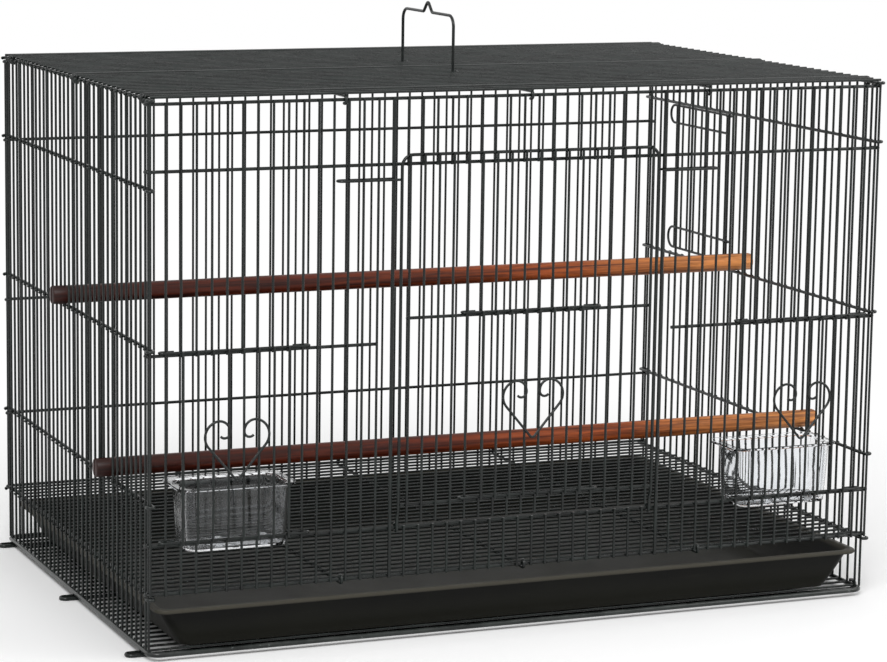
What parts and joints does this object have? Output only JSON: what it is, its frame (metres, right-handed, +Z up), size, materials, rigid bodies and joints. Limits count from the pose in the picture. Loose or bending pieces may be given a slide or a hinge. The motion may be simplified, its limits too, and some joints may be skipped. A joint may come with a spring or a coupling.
{
  "type": "flight bird cage",
  "caption": "Rectangular wire flight cage with a drop-down door, sliding doors, feeder cups, perches, pull-out tray and carrying handle.",
  "frame": {"origin": "on the floor, midway between the four corner uprights", "axes": "+X along the cage to the right seen from the doors, +Y from the doors to the back, +Z up"},
  "size_m": [0.6365, 0.4242, 0.4791],
  "materials": {
    "painted_wire": "gloss",
    "plated_wire": "gloss",
    "tray": "satin",
    "cup": "clear",
    "perch": "satin"
  },
  "bodies": {
    "cage": {"front_panel": "painted_wire", "back_panel": "painted_wire", "left_side_panel": "painted_wire", "right_side_panel": "painted_wire", "top_panel": "painted_wire", "floor_grate": "painted_wire", "base_panel": "painted_wire", "base_ring": "plated_wire", "base_rod_front": "painted_wire", "base_rod_middle": "painted_wire", "base_rod_rear": "painted_wire", "top_rod_front": "painted_wire", "top_rod_middle": "painted_wire", "top_rod_rear": "painted_wire"},
    "centre_door": {"centre_door_frame": "painted_wire", "centre_door_bars": "painted_wire"},
    "small_door": {"small_door": "painted_wire", "small_door_heart": "painted_wire"},
    "latch_left": {"latch_left": "painted_wire"},
    "latch_right": {"latch_right": "painted_wire"},
    "feeder_door_left": {"feeder_door_left": "painted_wire", "feeder_door_left_heart": "painted_wire"},
    "feeder_door_right": {"feeder_door_right": "painted_wire", "feeder_door_right_heart": "painted_wire"},
    "nest_door": {"nest_door_bars": "painted_wire", "nest_door_upper_loop": "painted_wire", "nest_door_lower_loop": "painted_wire"},
    "tray": {"tray": "tray"},
    "cup_left": {"cup_left": "cup"},
    "cup_right": {"cup_right": "cup"},
    "perch_upper": {"perch_upper": "perch"},
    "perch_lower": {"perch_lower": "perch"},
    "handle": {"handle": "painted_wire"}
  },
  "joints": [
    {"name": "centre_door_hinge", "type": "hinge", "parent": "cage", "child": "centre_door", "pos_m": [0, -0.20167, 0.08865], "axis": [1, 0, 0], "range_deg": [0, 95]},
    {"name": "small_door_lift", "type": "slide", "parent": "centre_door", "child": "small_door", "axis": [0, 0, 1], "range_m": [0, 0.115]},
    {"name": "latch_left_slide", "type": "slide", "parent": "cage", "child": "latch_left", "axis": [1, 0, 0], "range_m": [0, 0.0056]},
    {"name": "latch_right_slide", "type": "slide", "parent": "cage", "child": "latch_right", "axis": [-1, 0, 0], "range_m": [0, 0.0056]},
    {"name": "feeder_door_left_lift", "type": "slide", "parent": "cage", "child": "feeder_door_left", "axis": [0, 0, 1], "range_m": [0, 0.128]},
    {"name": "feeder_door_right_lift", "type": "slide", "parent": "cage", "child": "feeder_door_right", "axis": [0, 0, 1], "range_m": [0, 0.128]},
    {"name": "nest_door_hinge", "type": "hinge", "parent": "cage", "child": "nest_door", "pos_m": [0.30588, 0.048, 0.31115], "axis": [0, 0, -1], "range_deg": [0, 125]},
    {"name": "tray_slide", "type": "slide", "parent": "cage", "child": "tray", "axis": [0, -1, 0], "range_m": [0, 0.38]},
    {"name": "cup_left_lift", "type": "slide", "parent": "cage", "child": "cup_left", "axis": [0, 0, 1], "range_m": [0, 0.02]},
    {"name": "cup_right_lift", "type": "slide", "parent": "cage", "child": "cup_right", "axis": [0, 0, 1], "range_m": [0, 0.02]},
    {"name": "perch_upper_lift", "type": "slide", "parent": "cage", "child": "perch_upper", "axis": [0, 0, 1], "range_m": [0, 0.095]},
    {"name": "perch_lower_lift", "type": "slide", "parent": "cage", "child": "perch_lower", "axis": [0, 0, 1], "range_m": [0, 0.095]},
    {"name": "handle_fold", "type": "hinge", "parent": "cage", "child": "handle", "pos_m": [0, 0, 0.42232], "axis": [0, 1, 0], "range_deg": [-79, 79]}
  ]
}
